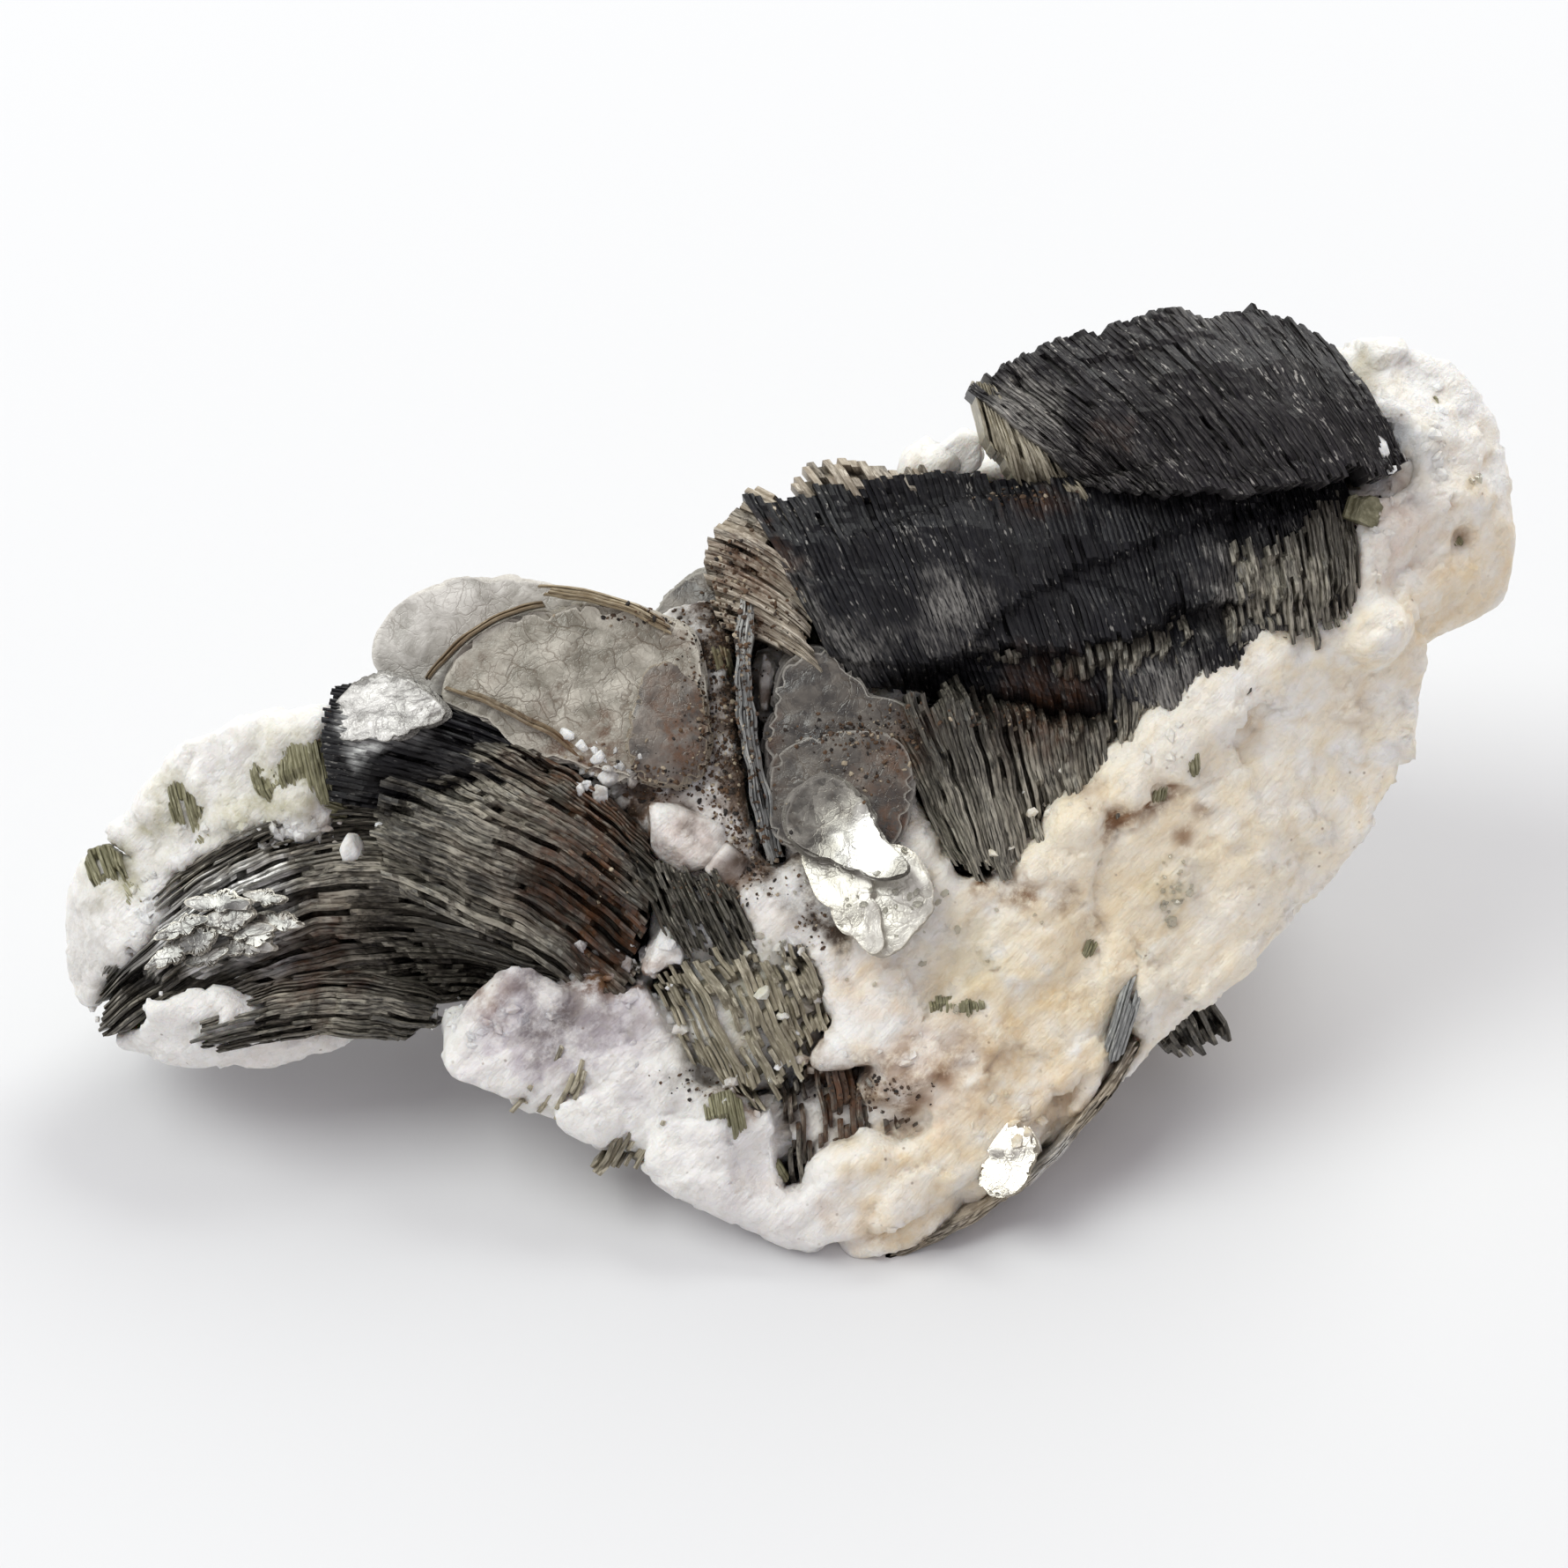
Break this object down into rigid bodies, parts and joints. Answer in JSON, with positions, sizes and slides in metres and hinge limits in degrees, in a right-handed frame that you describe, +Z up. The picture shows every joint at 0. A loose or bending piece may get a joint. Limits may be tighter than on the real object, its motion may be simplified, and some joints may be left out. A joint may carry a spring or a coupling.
{
  "type": "muscovite mica specimen",
  "caption": "Natural mineral specimen: books and plates of dark muscovite mica grown in a leaning wedge of white and cream feldspar rock that rests on a flat break.",
  "frame": {"origin": "middle of the flat break that the rock rests on, on the table's surface", "axes": "+Z up, +X along the specimen from the rounded left tip towards the right knob, the broad broken face with the mica looks towards -Y and up"},
  "size_m": [0.0982, 0.0562, 0.0476],
  "materials": {
    "feldspar": "granular white and cream feldspar with yellow-brown stains",
    "dark_mica": "dark glossy mica sheets seen edge-on",
    "grey_mica": "grey-green mica sheets seen edge-on, brown stains",
    "pale_mica": "pale pearly mica plates",
    "silver_mica": "bright silvery mica plates"
  },
  "bodies": {
    "root": {"rock": "feldspar", "cap_book": "dark_mica", "upper_book": "dark_mica", "fan_book": "grey_mica", "fringe_book": "grey_mica", "left_upper_book": "dark_mica", "left_top_book": "dark_mica", "left_lower_book": "dark_mica", "inner_book": "grey_mica", "green_book": "grey_mica", "lower_book": "grey_mica", "edge_book_left": "grey_mica", "edge_book_middle": "grey_mica", "nub_book": "dark_mica", "edge_plate": "pale_mica", "rim_plate": "dark_mica", "front_disc": "pale_mica", "back_disc": "pale_mica", "silver_book": "silver_mica", "back_plate": "pale_mica"}
  },
  "joints": []
}
